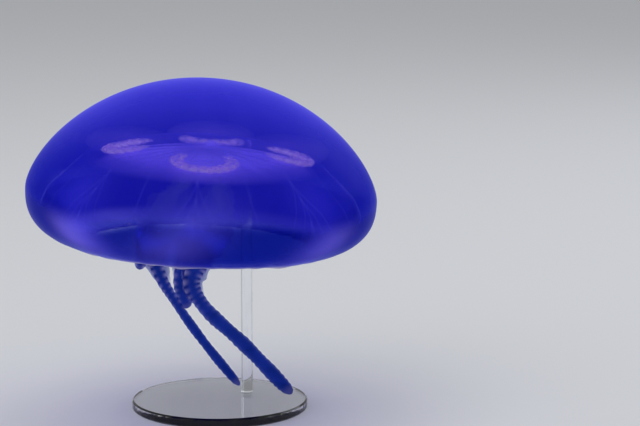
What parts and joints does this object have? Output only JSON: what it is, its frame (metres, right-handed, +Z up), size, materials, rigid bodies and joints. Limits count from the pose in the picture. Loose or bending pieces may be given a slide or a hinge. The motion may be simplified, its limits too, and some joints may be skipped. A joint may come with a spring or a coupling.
{
  "type": "moon jellyfish model",
  "caption": "Life-size moon jellyfish swimming with its bell half closed, with gonads, frilled mouth arms and a fringed margin, held up on a clear display stand.",
  "frame": {"origin": "on the floor, under the middle of the bell; the stand's flat underside lies in the plane Z = 0", "axes": "+Z up, -Y towards the viewer's side (front), +X to the right; the bell's axis leans 3 degrees from +Z towards +X"},
  "size_m": [0.1796, 0.1798, 0.1743],
  "materials": {
    "bell_jelly": "clear wet jelly, blue violet, paler and more violet where it is seen edge on",
    "margin_jelly": "thin wet jelly, pale lilac at its edge",
    "sense_organ": "opaque, pale, slightly yellow",
    "gonad": "soft, milky violet, finely folded",
    "stomach_jelly": "thin milky membrane, violet",
    "arm_jelly": "translucent, frilled, deep blue with paler edges",
    "clear_acrylic": "polished clear acrylic"
  },
  "bodies": {
    "root": {"bell_dome": "bell_jelly", "lappet_1": "margin_jelly", "lappet_2": "margin_jelly", "lappet_3": "margin_jelly", "lappet_4": "margin_jelly", "lappet_5": "margin_jelly", "lappet_6": "margin_jelly", "lappet_7": "margin_jelly", "lappet_8": "margin_jelly", "sense_organ_1": "sense_organ", "sense_organ_2": "sense_organ", "sense_organ_3": "sense_organ", "sense_organ_4": "sense_organ", "sense_organ_5": "sense_organ", "sense_organ_6": "sense_organ", "sense_organ_7": "sense_organ", "sense_organ_8": "sense_organ", "tentacle_comb_1": "margin_jelly", "tentacle_comb_2": "margin_jelly", "tentacle_comb_3": "margin_jelly", "tentacle_comb_4": "margin_jelly", "tentacle_comb_5": "margin_jelly", "tentacle_comb_6": "margin_jelly", "tentacle_comb_7": "margin_jelly", "tentacle_comb_8": "margin_jelly", "gonad_1": "gonad", "gonad_2": "gonad", "gonad_3": "gonad", "gonad_4": "gonad", "stomach": "stomach_jelly", "mouth": "stomach_jelly", "arm_front_left_1": "arm_jelly", "arm_front_left_2": "arm_jelly", "arm_front_left_3": "arm_jelly", "arm_front_right_1": "arm_jelly", "arm_front_right_2": "arm_jelly", "arm_front_right_3": "arm_jelly", "arm_front_right_4": "arm_jelly", "arm_back_left_1": "arm_jelly", "arm_back_left_2": "arm_jelly", "arm_back_right_1": "arm_jelly", "arm_back_right_2": "arm_jelly", "stand_base": "clear_acrylic", "stand_rod": "clear_acrylic"}
  },
  "joints": []
}
